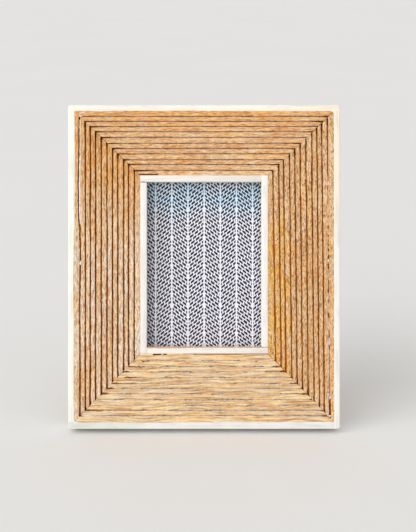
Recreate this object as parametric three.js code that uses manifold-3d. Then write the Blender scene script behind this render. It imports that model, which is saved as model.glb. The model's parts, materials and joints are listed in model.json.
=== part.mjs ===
// A table-top photo frame for a 2.5 by 3.5 inch print. Four mitred hardwood rails, sawn with narrow grooves,
// are edged in bone and lined with bone round the picture. Glass, print, card and board fill the pocket
// behind the liner, and four turn buttons hold them in. A hinged easel leg on the board makes the frame lean.
// Millimetres, +Z up. The front looks along -Y. The origin is on the table, under the middle of the frame.
import * as THREE from "three";
import { mergeVertices } from "three/addons/utils/BufferGeometryUtils.js";
import Module from "manifold-3d";

const wasm = await Module();
wasm.setup();

// The print and the layers that lie behind the liner
const PRINT_WIDTH = 63.5;
const PRINT_HEIGHT = 88.9;
const PRINT_THICKNESS = 0.3;
const PRINT_PLAY = 0.5; // from each edge of the print to the rails
const GLASS_THICKNESS = 2;
const CARD_THICKNESS = 1;
const BOARD_THICKNESS = 3;
const BOARD_CORNER_RADIUS = 1;
const PANE_PLAY = 0.3; // from each edge of the glass, card and board to the rails
const LAYER_GAP = 0.2; // between one layer of the assembly and the next

// The moulding
const RAIL_DEPTH = 14;
const SIDE_RAIL_WIDTH = 32.8;
const TOP_RAIL_WIDTH = 31.9;
const BOTTOM_RAIL_WIDTH = 34;
const STRIP_COUNT = 12; // the face of each rail is sawn into this many strips
const GROOVE_WIDTH = 0.7;
const GROOVE_FLOOR = 0.3;
const GROOVE_DEPTH = 1.2;
const GROOVE_LIP = 0.2; // the worn edge of a strip
const GLUE_GAP = 0.2;

// The bone
const EDGE_THICKNESS = 3;
const BOTTOM_EDGE_THICKNESS = 3.4;
const EDGE_CORNER_RADIUS = 1.4;
const EDGE_ARRIS = 0.5;
const LINER_WIDTH = 3.3;
const LINER_ARRIS = 0.25;

// The easel
const LEAN = THREE.MathUtils.degToRad(12);
const LEG_SPREAD = THREE.MathUtils.degToRad(22); // between board and leg, at the stop
const LEG_HINGE_DROP = 16; // from the top of the board down to the hinge
const LEG_THICKNESS = 3.2;
const LEG_TOP_WIDTH = 24;
const LEG_FOOT_WIDTH = 38;
const LEG_CORNER_RADIUS = 3;
const LEG_TIP_THICKNESS = 1.4; // what the seat bevel leaves at the top of the leg
const STOP_GAP = 0.25;

// The hinge
const LEAF_WIDTH = 24;
const LEAF_LENGTH = 13;
const LEAF_THICKNESS = 0.8;
const KNUCKLE_RADIUS = 1.6;
const KNUCKLE_LENGTH = 7.8; // the leg's one knuckle, in the middle of the leaf
const KNUCKLE_GAP = 0.3;
const PIN_RADIUS = 0.75;
const PIN_CLEARANCE = 0.2;
const PIN_HEAD_RADIUS = 1.3;
const PIN_HEAD_HEIGHT = 0.8;

// The rivets, two through the board and two through the leg
const RIVET_RADIUS = 1;
const RIVET_HEAD_RADIUS = 2.2;
const RIVET_HEAD_HEIGHT = 0.7;
const RIVET_FOOT_RADIUS = 1.8;
const RIVET_FOOT_HEIGHT = 0.6;
const BOARD_RIVET_SPREAD = 9; // from the middle of the leaf
const LEG_RIVET_SPREAD = 4;
const RIVET_DROP = 8; // from the hinge pin down to the rivets
const HOLE_CLEARANCE = 0.2; // round each shank

// The turn buttons
const BUTTON_THICKNESS = 0.8;
const BUTTON_PIVOT_RADIUS = 4.2;
const BUTTON_TIP_RADIUS = 2.6;
const BUTTON_LENGTH = 9; // from the pivot to the middle of the tip
const BUTTON_INSET = 5.2; // from the pocket to the pivot
const BUTTON_RISE = 28; // from the middle of the pocket up and down to the pivots
const SCREW_RADIUS = 1.3;
const SCREW_LENGTH = 8;
const SCREW_HEAD_RADIUS = 2.7;
const SCREW_HEAD_HEIGHT = 1.5;
const SCREW_SLOT_WIDTH = 0.7;
const SCREW_SLOT_DEPTH = 0.7;

const ROUND_SEGMENTS = 32;
const ARC_SEGMENTS = 6; // in each quarter of a rounded corner

// Sizes that follow from those above, in the frame's own upright space: x to the right, y back from the face
// of the rails, z up from the foot of the frame
const POCKET_WIDTH = PRINT_WIDTH + 2 * PRINT_PLAY;
const POCKET_HEIGHT = PRINT_HEIGHT + 2 * PRINT_PLAY;
const EDGE_STEP = EDGE_THICKNESS + GLUE_GAP;
const BOTTOM_EDGE_STEP = BOTTOM_EDGE_THICKNESS + GLUE_GAP;
const POCKET = rectangle(POCKET_WIDTH, POCKET_HEIGHT, BOTTOM_EDGE_STEP + BOTTOM_RAIL_WIDTH);
const WOOD = rectangle(
  POCKET_WIDTH + 2 * SIDE_RAIL_WIDTH,
  BOTTOM_RAIL_WIDTH + POCKET_HEIGHT + TOP_RAIL_WIDTH,
  BOTTOM_EDGE_STEP,
);
const OUTSIDE = rectangle(WOOD.width + 2 * EDGE_STEP, BOTTOM_EDGE_STEP + WOOD.height + EDGE_STEP, 0);
const PANE = rectangle(
  POCKET_WIDTH - 2 * PANE_PLAY,
  POCKET_HEIGHT - 2 * PANE_PLAY,
  POCKET.bottom + PANE_PLAY,
);
const PICTURE = rectangle(PRINT_WIDTH, PRINT_HEIGHT, POCKET.bottom + PRINT_PLAY);
const BOARD_FRONT = RAIL_DEPTH - BOARD_THICKNESS;
const CARD_FRONT = BOARD_FRONT - LAYER_GAP - CARD_THICKNESS;
const PRINT_FRONT = CARD_FRONT - LAYER_GAP - PRINT_THICKNESS;
const GLASS_FRONT = PRINT_FRONT - LAYER_GAP - GLASS_THICKNESS;
const LINER_DEPTH = GLASS_FRONT - LAYER_GAP;

const HINGE_HEIGHT = PANE.top - LEG_HINGE_DROP;
const HINGE_STAND_OFF = LAYER_GAP + KNUCKLE_RADIUS; // from the back of the board to the middle of the pin
const HINGE_AXIS = new THREE.Vector3(0, RAIL_DEPTH + HINGE_STAND_OFF, HINGE_HEIGHT);
const LEG_FRONT = HINGE_STAND_OFF; // the leg clears the knuckles by as much as the board does
const LEG_BACK = LEG_FRONT + LEG_THICKNESS;

// The four sides of each rectangle, clockwise as seen from the front, with the width of the rail and the
// thickness of the bone strip along them
const SIDES = [
  { name: "left", width: SIDE_RAIL_WIDTH, edge: EDGE_THICKNESS },
  { name: "top", width: TOP_RAIL_WIDTH, edge: EDGE_THICKNESS },
  { name: "right", width: SIDE_RAIL_WIDTH, edge: EDGE_THICKNESS },
  { name: "bottom", width: BOTTOM_RAIL_WIDTH, edge: BOTTOM_EDGE_THICKNESS },
];

const MATERIALS = {
  wood: new THREE.MeshStandardMaterial({ color: 0xd9ad78, roughness: 0.55, metalness: 0 }),
  bone: new THREE.MeshStandardMaterial({ color: 0xf6f1e2, roughness: 0.35, metalness: 0 }),
  glass: new THREE.MeshStandardMaterial({
    color: 0xeaf4f4,
    roughness: 0.03,
    metalness: 0,
    transparent: true,
    opacity: 0.25,
  }),
  print: new THREE.MeshStandardMaterial({ color: 0x8d8f9b, roughness: 0.8, metalness: 0 }),
  card: new THREE.MeshStandardMaterial({ color: 0xb9ab90, roughness: 0.9, metalness: 0 }),
  board: new THREE.MeshStandardMaterial({ color: 0x2a2725, roughness: 0.8, metalness: 0 }),
  brass: new THREE.MeshStandardMaterial({ color: 0xb9964e, roughness: 0.35, metalness: 1 }),
  steel: new THREE.MeshStandardMaterial({ color: 0xb4b4b0, roughness: 0.35, metalness: 1 }),
};

// A rectangle in the plane of the frame, centred on x 0, with its lower side at the height bottom.
function rectangle(width, height, bottom) {
  return { width, height, left: -width / 2, right: width / 2, bottom, top: bottom + height };
}

// manifold-3d solid of a closed three.js geometry.
function solid(geometry) {
  const bare = geometry.clone();
  bare.deleteAttribute("normal");
  bare.deleteAttribute("uv");
  const merged = mergeVertices(bare, 1e-4);
  return new wasm.Manifold(
    new wasm.Mesh({
      numProp: 3,
      vertProperties: new Float32Array(merged.attributes.position.array),
      triVerts: new Uint32Array(merged.index.array),
    }),
  );
}

// three.js geometry of a manifold-3d solid, with flat faces.
function geometryOf(manifold) {
  const mesh = manifold.getMesh();
  const indexed = new THREE.BufferGeometry();
  indexed.setAttribute("position", new THREE.BufferAttribute(new Float32Array(mesh.vertProperties), 3));
  indexed.setIndex(new THREE.BufferAttribute(new Uint32Array(mesh.triVerts), 1));
  const flat = indexed.toNonIndexed();
  flat.computeVertexNormals();
  return flat;
}

function named(name, geometry, material) {
  const mesh = new THREE.Mesh(geometry, material);
  mesh.name = name;
  return mesh;
}

// Box between two corners.
function block(x0, x1, y0, y1, z0, z1) {
  const box = new THREE.BoxGeometry(x1 - x0, y1 - y0, z1 - z0);
  return box.translate((x0 + x1) / 2, (y0 + y1) / 2, (z0 + z1) / 2);
}

// Plate whose outline is a shape in x and z, from depth y0 back to y1.
function plate(shape, y0, y1, options = {}) {
  const bevel = options.bevelEnabled ? options.bevelThickness : 0;
  return new THREE.ExtrudeGeometry(shape, {
    depth: y1 - y0 - 2 * bevel,
    bevelEnabled: false,
    curveSegments: ARC_SEGMENTS,
    ...options,
  })
    .rotateX(Math.PI / 2)
    .translate(0, y1 - bevel, 0);
}

// Bar whose section is a shape in y and z, from x0 to x1.
function bar(shape, x0, x1) {
  const acrossToDepth = new THREE.Matrix4().makeBasis(
    new THREE.Vector3(0, 1, 0),
    new THREE.Vector3(0, 0, 1),
    new THREE.Vector3(1, 0, 0),
  );
  const options = { depth: x1 - x0, bevelEnabled: false, curveSegments: ROUND_SEGMENTS / 2 };
  return new THREE.ExtrudeGeometry(shape, options).applyMatrix4(acrossToDepth).translate(x0, 0, 0);
}

// Piece turned about the y axis. The profile is radius, depth pairs from front to back.
function turned(profile) {
  return new THREE.LatheGeometry(
    profile.map(([radius, depth]) => new THREE.Vector2(radius, depth)),
    ROUND_SEGMENTS,
  );
}

// Round rod along y, to cut holes with.
function rod(radius, y0, y1) {
  return turned([
    [0, y0],
    [radius, y0],
    [radius, y1],
    [0, y1],
  ]);
}

// Shape of a rectangle with round corners, in x and z.
function roundedRectangle(area, radius) {
  const shape = new THREE.Shape();
  shape.absarc(area.right - radius, area.top - radius, radius, 0, Math.PI / 2);
  shape.absarc(area.left + radius, area.top - radius, radius, Math.PI / 2, Math.PI);
  shape.absarc(area.left + radius, area.bottom + radius, radius, Math.PI, 1.5 * Math.PI);
  shape.absarc(area.right - radius, area.bottom + radius, radius, 1.5 * Math.PI, 2 * Math.PI);
  return shape;
}

// Puts a mesh made along +Z, with +X pointing into the rectangle, on one side of that rectangle.
function placeOnSide(mesh, side, area) {
  const corners = [
    [area.left, area.bottom],
    [area.left, area.top],
    [area.right, area.top],
    [area.right, area.bottom],
  ];
  const [x, z] = corners[side];
  mesh.position.set(x, 0, z);
  mesh.rotation.y = (side * Math.PI) / 2;
  return mesh;
}

function sideLength(side, area) {
  return side % 2 === 0 ? area.height : area.width;
}

// Section of a rail, across from its outer edge and back from its face. Each groove has worn lips, walls that
// lean in a little and a narrow flat floor.
function railSection(width) {
  const shape = new THREE.Shape();
  const strip = width / STRIP_COUNT;
  const half = GROOVE_WIDTH / 2;
  const lipSlope = GROOVE_LIP / 3;
  shape.moveTo(0, 0);
  for (let groove = 1; groove < STRIP_COUNT; groove += 1) {
    const middle = groove * strip;
    shape.lineTo(middle - half - GROOVE_LIP, 0);
    shape.lineTo(middle - half - lipSlope, lipSlope);
    shape.lineTo(middle - half, GROOVE_LIP);
    shape.lineTo(middle - GROOVE_FLOOR / 2, GROOVE_DEPTH);
    shape.lineTo(middle + GROOVE_FLOOR / 2, GROOVE_DEPTH);
    shape.lineTo(middle + half, GROOVE_LIP);
    shape.lineTo(middle + half + lipSlope, lipSlope);
    shape.lineTo(middle + half + GROOVE_LIP, 0);
  }
  shape.lineTo(width, 0);
  shape.lineTo(width, RAIL_DEPTH);
  shape.lineTo(0, RAIL_DEPTH);
  return shape;
}

// Rail with a mitre at each end. Its outer edge has the full length, and each mitre runs to the inner corner,
// which lies as far in as the neighbouring rail is wide, so the grooves of both rails meet along it.
function mitredRail(width, length, startRun, endRun) {
  const geometry = new THREE.ExtrudeGeometry(railSection(width), { depth: length, bevelEnabled: false });
  const glue = GLUE_GAP * Math.SQRT1_2;
  const position = geometry.attributes.position;
  for (let i = 0; i < position.count; i += 1) {
    const share = position.getX(i) / width;
    const atStart = position.getZ(i) < length / 2;
    position.setZ(i, atStart ? share * startRun + glue : length - share * endRun - glue);
  }
  return geometry;
}

// Pivots of the turn buttons, numbered from the upper left as seen from the front.
function buttonPivots() {
  const reach = POCKET.width / 2 + BUTTON_INSET;
  const middle = (POCKET.bottom + POCKET.top) / 2;
  return [
    { rail: "left", x: -reach, z: middle + BUTTON_RISE },
    { rail: "right", x: reach, z: middle + BUTTON_RISE },
    { rail: "left", x: -reach, z: middle - BUTTON_RISE },
    { rail: "right", x: reach, z: middle - BUTTON_RISE },
  ];
}

// Grooved rails, with a pilot hole behind each turn button.
function rails() {
  const bottomOfHole = RAIL_DEPTH - SCREW_LENGTH - HOLE_CLEARANCE;
  const hole = rod(SCREW_RADIUS + HOLE_CLEARANCE, bottomOfHole, RAIL_DEPTH + 1);
  return SIDES.map(({ name, width }, side) => {
    const before = SIDES[(side + 3) % 4].width;
    const after = SIDES[(side + 1) % 4].width;
    const geometry = mitredRail(width, sideLength(side, WOOD), before, after);
    const mesh = placeOnSide(named(`rail_${name}`, geometry, MATERIALS.wood), side, WOOD);
    mesh.updateMatrix();
    const toRail = mesh.matrix.clone().invert();
    let wood = solid(geometry);
    for (const { x, z } of buttonPivots().filter((pivot) => pivot.rail === name)) {
      wood = wood.subtract(solid(hole.clone().translate(x, 0, z).applyMatrix4(toRail)));
    }
    mesh.geometry = geometryOf(wood);
    return mesh;
  });
}

// Bone strips round the outside. Each one covers the end of the next, and the outer corners and front edge of
// the assembled frame are sanded round.
function edges() {
  const sanded = plate(roundedRectangle(OUTSIDE, EDGE_CORNER_RADIUS), 0, 2 * RAIL_DEPTH, {
    bevelEnabled: true,
    bevelThickness: EDGE_ARRIS,
    bevelSize: EDGE_ARRIS,
    bevelOffset: -EDGE_ARRIS,
    bevelSegments: 3,
  });
  return SIDES.map(({ name, edge }, side) => {
    const length = sideLength(side, OUTSIDE);
    const start = SIDES[(side + 3) % 4].edge + GLUE_GAP;
    const strip = block(0, edge, 0, RAIL_DEPTH, start, length);
    const mesh = placeOnSide(named(`edge_${name}`, strip, MATERIALS.bone), side, OUTSIDE);
    mesh.updateMatrix();
    const toStrip = mesh.matrix.clone().invert();
    mesh.geometry = geometryOf(solid(strip).intersect(solid(sanded.clone().applyMatrix4(toStrip))));
    return mesh;
  });
}

// Bone strips round the picture, glued to the inner walls of the rails. Each one butts against the next, the
// other way round from the edging. Their backs hold the glass.
function liners() {
  return SIDES.map(({ name }, side) => {
    const from = GLUE_GAP;
    const to = sideLength(side, POCKET) - 2 * GLUE_GAP - LINER_WIDTH;
    const area = { left: GLUE_GAP, right: GLUE_GAP + LINER_WIDTH, bottom: from, top: to };
    const outline = new THREE.Shape([
      new THREE.Vector2(area.left, area.bottom),
      new THREE.Vector2(area.right, area.bottom),
      new THREE.Vector2(area.right, area.top),
      new THREE.Vector2(area.left, area.top),
    ]);
    const geometry = plate(outline, 0, LINER_DEPTH, {
      bevelEnabled: true,
      bevelThickness: LINER_ARRIS,
      bevelSize: LINER_ARRIS,
      bevelOffset: -LINER_ARRIS,
      bevelSegments: 2,
    });
    return placeOnSide(named(`liner_${name}`, geometry, MATERIALS.bone), side, POCKET);
  });
}

// One flat layer of what fills the pocket.
function layer(name, area, front, thickness, material) {
  const geometry = block(area.left, area.right, front, front + thickness, area.bottom, area.top);
  return named(name, geometry, material);
}

// What lies behind the liner, from the front, without the backing board.
function layers() {
  return [
    layer("glass_pane", PANE, GLASS_FRONT, GLASS_THICKNESS, MATERIALS.glass),
    layer("picture_print", PICTURE, PRINT_FRONT, PRINT_THICKNESS, MATERIALS.print),
    layer("filler_card", PANE, CARD_FRONT, CARD_THICKNESS, MATERIALS.card),
  ];
}

// Backing board, bored for the hinge's rivets, with room for their feet on its front.
function backingBoard() {
  let board = solid(plate(roundedRectangle(PANE, BOARD_CORNER_RADIUS), BOARD_FRONT, RAIL_DEPTH));
  for (const x of [-BOARD_RIVET_SPREAD, BOARD_RIVET_SPREAD]) {
    const z = HINGE_HEIGHT - RIVET_DROP;
    const shankHole = rod(RIVET_RADIUS + HOLE_CLEARANCE, BOARD_FRONT - 1, RAIL_DEPTH + 1);
    const footDepth = BOARD_FRONT + RIVET_FOOT_HEIGHT + 2 * LAYER_GAP;
    const footHole = rod(RIVET_FOOT_RADIUS + HOLE_CLEARANCE, BOARD_FRONT - 1, footDepth);
    board = board.subtract(solid(shankHole.translate(x, 0, z)));
    board = board.subtract(solid(footHole.translate(x, 0, z)));
  }
  return named("backing_board", geometryOf(board), MATERIALS.board);
}

// Rivet along y with a domed head at its back. The head's seat is at seat, and the foot starts at front.
function rivet(front, seat) {
  const dome = RIVET_HEAD_HEIGHT;
  return turned([
    [0, front],
    [RIVET_FOOT_RADIUS, front],
    [RIVET_FOOT_RADIUS, front + RIVET_FOOT_HEIGHT],
    [RIVET_RADIUS, front + RIVET_FOOT_HEIGHT],
    [RIVET_RADIUS, seat],
    [RIVET_HEAD_RADIUS, seat],
    [0.95 * RIVET_HEAD_RADIUS, seat + 0.4 * dome],
    [0.7 * RIVET_HEAD_RADIUS, seat + 0.8 * dome],
    [0, seat + dome],
  ]);
}

function boardRivets() {
  return [-1, 1].map((end, i) => {
    const seat = RAIL_DEPTH + 2 * LAYER_GAP + LEAF_THICKNESS;
    const mesh = named(`board_rivet_${i + 1}`, rivet(BOARD_FRONT + LAYER_GAP, seat), MATERIALS.brass);
    mesh.position.set(end * BOARD_RIVET_SPREAD, 0, HINGE_HEIGHT - RIVET_DROP);
    return mesh;
  });
}

// Hinge leaf about a pin on the x axis, hanging down from it. The back of its plate lies behind the pin by
// KNUCKLE_RADIUS, and knuckles gives the stretches of x where it curls round the pin.
function hingeLeaf(knuckles, rivetSpread) {
  const inner = KNUCKLE_RADIUS - LEAF_THICKNESS;
  const plateTop = -KNUCKLE_RADIUS - KNUCKLE_GAP - LAYER_GAP;
  const half = LEAF_WIDTH / 2;
  let leaf = solid(block(-half, half, inner, KNUCKLE_RADIUS, -LEAF_LENGTH, plateTop));
  const ring = new THREE.Shape();
  ring.absarc(0, 0, KNUCKLE_RADIUS, 0, 1.5 * Math.PI);
  ring.lineTo(inner, -KNUCKLE_RADIUS);
  ring.lineTo(inner, plateTop - LEAF_THICKNESS);
  ring.lineTo(KNUCKLE_RADIUS, plateTop - LEAF_THICKNESS);
  for (const [x0, x1] of knuckles) leaf = leaf.add(solid(bar(ring, x0, x1)));
  const bore = new THREE.Shape().absarc(0, 0, PIN_RADIUS + PIN_CLEARANCE, 0, 2 * Math.PI);
  leaf = leaf.subtract(solid(bar(bore, -LEAF_WIDTH, LEAF_WIDTH)));
  for (const x of [-rivetSpread, rivetSpread]) {
    const hole = rod(RIVET_RADIUS + HOLE_CLEARANCE, 0, 2 * KNUCKLE_RADIUS);
    leaf = leaf.subtract(solid(hole.translate(x, 0, -RIVET_DROP)));
  }
  return geometryOf(leaf);
}

// The board's leaf has a knuckle at each end. It is the leg's leaf turned over, to lie against the board.
function boardLeaf() {
  const end = LEAF_WIDTH / 2;
  const start = KNUCKLE_LENGTH / 2 + KNUCKLE_GAP;
  const geometry = hingeLeaf(
    [
      [-end, -start],
      [start, end],
    ],
    BOARD_RIVET_SPREAD,
  );
  const mesh = named("hinge_leaf_board", mirroredInDepth(geometry), MATERIALS.brass);
  mesh.position.copy(HINGE_AXIS);
  return mesh;
}

// The geometry seen in a mirror across y, with its faces turned to point out again.
function mirroredInDepth(geometry) {
  const mirrored = geometry.clone().scale(1, -1, 1);
  const position = mirrored.attributes.position;
  for (let i = 0; i < position.count; i += 3) {
    const [x, y, z] = [position.getX(i), position.getY(i), position.getZ(i)];
    position.setXYZ(i, position.getX(i + 1), position.getY(i + 1), position.getZ(i + 1));
    position.setXYZ(i + 1, x, y, z);
  }
  mirrored.computeVertexNormals();
  return mirrored;
}

function legLeaf() {
  const half = KNUCKLE_LENGTH / 2;
  return named("hinge_leaf_leg", hingeLeaf([[-half, half]], LEG_RIVET_SPREAD), MATERIALS.brass);
}

// Hinge pin with a flat head at each end, outside the knuckles.
function hingePin() {
  const end = LEAF_WIDTH / 2 + KNUCKLE_GAP;
  const tip = end + PIN_HEAD_HEIGHT;
  const geometry = turned([
    [0, -tip],
    [PIN_HEAD_RADIUS, -tip],
    [PIN_HEAD_RADIUS, -end],
    [PIN_RADIUS, -end],
    [PIN_RADIUS, end],
    [PIN_HEAD_RADIUS, end],
    [PIN_HEAD_RADIUS, tip],
    [0, tip],
  ]).rotateZ(-Math.PI / 2);
  const mesh = named("hinge_pin", geometry, MATERIALS.steel);
  mesh.position.copy(HINGE_AXIS);
  return mesh;
}

// Easel leg about the hinge pin, in its own space: y back from the pin, z up along the leg. pinHeight is the
// height of the pin above the table. The foot is cut level. The top is bevelled on the board's side, and the
// bevel lands flat on the board to stop the leg at its full spread.
function easelLeg(pinHeight) {
  const tilt = LEG_SPREAD - LEAN; // of the leg from upright
  const footAt = (y) => -(pinHeight + y * Math.sin(tilt)) / Math.cos(tilt);
  const seatAt = (y) => (y * Math.cos(LEG_SPREAD) + HINGE_STAND_OFF - STOP_GAP) / Math.sin(LEG_SPREAD);
  const tipFront = LEG_BACK - LEG_TIP_THICKNESS;
  const top = seatAt(tipFront);
  const side = new THREE.Shape([
    new THREE.Vector2(LEG_FRONT, footAt(LEG_FRONT)),
    new THREE.Vector2(LEG_BACK, footAt(LEG_BACK)),
    new THREE.Vector2(LEG_BACK, top),
    new THREE.Vector2(tipFront, top),
    new THREE.Vector2(LEG_FRONT, seatAt(LEG_FRONT)),
  ]);
  const front = new THREE.Shape();
  const topHalf = LEG_TOP_WIDTH / 2;
  const footHalf = LEG_FOOT_WIDTH / 2;
  const low = footAt(LEG_BACK) - LEG_THICKNESS;
  const corner = LEG_CORNER_RADIUS;
  front.absarc(topHalf - corner, top - corner, corner, 0, Math.PI / 2);
  front.absarc(corner - topHalf, top - corner, corner, Math.PI / 2, Math.PI);
  front.lineTo(-footHalf, low);
  front.lineTo(footHalf, low);
  const reach = LEG_FOOT_WIDTH;
  let leg = solid(plate(front, 0, 2 * LEG_BACK)).intersect(solid(bar(side, -reach, reach)));
  for (const x of [-LEG_RIVET_SPREAD, LEG_RIVET_SPREAD]) {
    const hole = rod(RIVET_RADIUS + HOLE_CLEARANCE, 0, 2 * LEG_BACK);
    leg = leg.subtract(solid(hole.translate(x, 0, -RIVET_DROP)));
  }
  return named("easel_leg", geometryOf(leg), MATERIALS.board);
}

function legRivets() {
  return [-1, 1].map((end, i) => {
    const front = KNUCKLE_RADIUS - LEAF_THICKNESS - LAYER_GAP - RIVET_FOOT_HEIGHT;
    const mesh = named(`leg_rivet_${i + 1}`, rivet(front, LEG_BACK + LAYER_GAP), MATERIALS.brass);
    mesh.position.set(end * LEG_RIVET_SPREAD, 0, -RIVET_DROP);
    return mesh;
  });
}

// Turn button about its screw, pointing along +X: a plate with round ends, wider at the screw.
function turnButton() {
  const lean = Math.acos((BUTTON_PIVOT_RADIUS - BUTTON_TIP_RADIUS) / BUTTON_LENGTH);
  const outline = new THREE.Shape();
  outline.absarc(0, 0, BUTTON_PIVOT_RADIUS, lean, 2 * Math.PI - lean);
  outline.absarc(BUTTON_LENGTH, 0, BUTTON_TIP_RADIUS, -lean, lean);
  outline.holes.push(new THREE.Path().absarc(0, 0, SCREW_RADIUS + HOLE_CLEARANCE, 0, 2 * Math.PI, true));
  const y0 = RAIL_DEPTH + LAYER_GAP;
  return plate(outline, y0, y0 + BUTTON_THICKNESS, { curveSegments: ROUND_SEGMENTS / 2 });
}

// Slotted round-head screw along y, with its point in the rail.
function buttonScrew() {
  const seat = RAIL_DEPTH + 2 * LAYER_GAP + BUTTON_THICKNESS;
  const top = seat + SCREW_HEAD_HEIGHT;
  const point = RAIL_DEPTH - SCREW_LENGTH;
  const screw = turned([
    [0, point],
    [SCREW_RADIUS, point + 2 * SCREW_RADIUS],
    [SCREW_RADIUS, seat],
    [SCREW_HEAD_RADIUS, seat],
    [SCREW_HEAD_RADIUS, seat + 0.3 * SCREW_HEAD_HEIGHT],
    [0.8 * SCREW_HEAD_RADIUS, seat + 0.8 * SCREW_HEAD_HEIGHT],
    [0.4 * SCREW_HEAD_RADIUS, top],
    [0, top],
  ]);
  const reach = 2 * SCREW_HEAD_RADIUS;
  const half = SCREW_SLOT_WIDTH / 2;
  const slot = block(-reach, reach, top - SCREW_SLOT_DEPTH, top + 1, -half, half);
  return geometryOf(solid(screw).subtract(solid(slot)));
}

// Each button points at the middle of the board.
function buttonsAndScrews() {
  return buttonPivots().flatMap(({ x, z }, i) => {
    const button = named(`turn_button_${i + 1}`, turnButton(), MATERIALS.steel);
    button.position.set(x, 0, z);
    button.rotation.y = x < 0 ? 0 : Math.PI;
    const screw = named(`button_screw_${i + 1}`, buttonScrew(), MATERIALS.steel);
    screw.position.set(x, 0, z);
    return [button, screw];
  });
}

const frame = new THREE.Group();
frame.add(...rails(), ...edges(), ...liners());
frame.add(...layers(), backingBoard());
frame.add(boardLeaf(), hingePin(), ...boardRivets());
frame.add(...buttonsAndScrews());
frame.rotation.x = -LEAN;
frame.updateMatrixWorld(true);

// The frame stands on the back edge of its foot, so the table is as low as its lowest point.
const table = new THREE.Box3().setFromObject(frame, true).min.z;
const pin = HINGE_AXIS.clone().applyMatrix4(frame.matrixWorld);
const leg = new THREE.Group();
leg.add(easelLeg(pin.z - table), legLeaf(), ...legRivets());
leg.position.copy(HINGE_AXIS);
leg.rotation.x = LEG_SPREAD;
frame.add(leg);

const standing = new THREE.Group();
standing.add(frame);
standing.updateMatrixWorld(true);
const box = new THREE.Box3().setFromObject(standing, true);
frame.position.set(0, -(box.min.y + box.max.y) / 2, -table);

export default standing;
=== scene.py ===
import json
import math

import bmesh
import bpy
import numpy as np
from mathutils import Matrix, Vector


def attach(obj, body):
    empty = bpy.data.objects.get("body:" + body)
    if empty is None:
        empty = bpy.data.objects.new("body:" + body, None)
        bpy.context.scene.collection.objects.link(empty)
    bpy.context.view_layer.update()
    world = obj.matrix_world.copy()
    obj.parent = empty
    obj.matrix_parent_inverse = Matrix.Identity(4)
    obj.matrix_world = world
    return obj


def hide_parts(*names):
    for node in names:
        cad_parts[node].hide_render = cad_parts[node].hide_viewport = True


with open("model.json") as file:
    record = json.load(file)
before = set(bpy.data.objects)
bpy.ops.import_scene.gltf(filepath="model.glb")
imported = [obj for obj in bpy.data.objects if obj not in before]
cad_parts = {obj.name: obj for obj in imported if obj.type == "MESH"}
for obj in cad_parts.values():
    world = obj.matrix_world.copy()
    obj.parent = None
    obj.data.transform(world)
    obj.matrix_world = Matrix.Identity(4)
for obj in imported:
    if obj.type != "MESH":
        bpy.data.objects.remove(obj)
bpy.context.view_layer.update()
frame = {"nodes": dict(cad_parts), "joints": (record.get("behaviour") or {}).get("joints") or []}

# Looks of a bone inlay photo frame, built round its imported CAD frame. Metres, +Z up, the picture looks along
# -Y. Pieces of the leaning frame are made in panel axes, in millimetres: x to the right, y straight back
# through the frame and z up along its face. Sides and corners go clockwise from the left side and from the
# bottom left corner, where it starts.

NODES = frame["nodes"]
MM = 0.001

# The photo's view in pixels: its size, its focal length, and how wide and where the frame is in it
VIEW_WIDTH, VIEW_HEIGHT = 416, 532
FOCAL_PIXELS = 1500
FRAME_WIDTH_PIXELS = 272.2
FRAME_CENTRE = (204.07, 266.98)

# Widths of the 12 strips of each rail, from the outer edge in, of which only the proportions count
SIDE_STEPS = (5.7, 5.45, 4.9, 5.25, 5.82, 5.63, 5.45, 5.36, 5.93, 4.76, 5.68, 5.8)
TOP_STEPS = (5.5, 5.1, 5.1, 5.05, 5.75, 5.95, 5.15, 5.25, 6.05, 4.65, 5.9, 4.4)
BOTTOM_STEPS = (6.5, 5.2, 4.95, 5.6, 5.8, 5.4, 5.0, 5.7, 5.7, 5.0, 5.65, 6.9)
STRIP_STEPS = {"left": SIDE_STEPS, "top": TOP_STEPS, "right": SIDE_STEPS, "bottom": BOTTOM_STEPS}
# How far in the grooves of a side stand off those steps where the side starts and where it ends
GROOVE_DRIFT = {"left": (0.15, 0.15), "top": (0, 0), "right": (0.6, -0.7), "bottom": (0, 0)}
KERF_DEPTH = 1.2
GLUE = 0.2  # the joint between wood and bone
# Radius of the wood where the bone fills its corners
CORNER_RADII = (1.5, 1.1, 2.2, 1.1)
# Radius of the edging's outer corners, of their front and of the edge along a strip
OUTER_RADIUS = 1.4
FRONT_RADIUS = 0.5
ARRIS = 0.5
# From one cross-section to the next along a rail and along a bone strip
RAIL_SLICE = 0.5
BONE_SLICE = 1.5

JOINTS = {joint["name"]: joint for joint in frame["joints"]}
button_axis = JOINTS["button_1_turn"]["axis"]
LEAN = math.atan2(-button_axis[2], button_axis[1])
LEG_SPREAD = math.radians(-JOINTS["leg_fold"]["range_deg"][0])
TO_PANEL = np.array(Matrix.Rotation(LEAN, 3, "X"))


# Panel axes

def panel_box(node):
    """(lowest corner, highest corner) of a CAD node in panel millimetres."""
    world = np.array([vertex.co for vertex in NODES[node].data.vertices])
    points = world @ TO_PANEL.T / MM
    return points.min(0), points.max(0)


def to_world(points):
    return np.asarray(points, float) @ TO_PANEL * MM


# The directions in which the board's back and that of the open leg look
BOARD_OUT = Vector(to_world([0, 1, 0])).normalized()
LEG_OUT = Matrix.Rotation(LEG_SPREAD, 3, "X") @ BOARD_OUT

# Sides, the two that meet at the start of each, and the direction along each, in x and z
SIDES = ("left", "top", "right", "bottom")
CORNERS = (("left", "bottom"), ("left", "top"), ("right", "top"), ("right", "bottom"))
ALONG = ((0, 1), (1, 0), (0, -1), (-1, 0))


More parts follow.
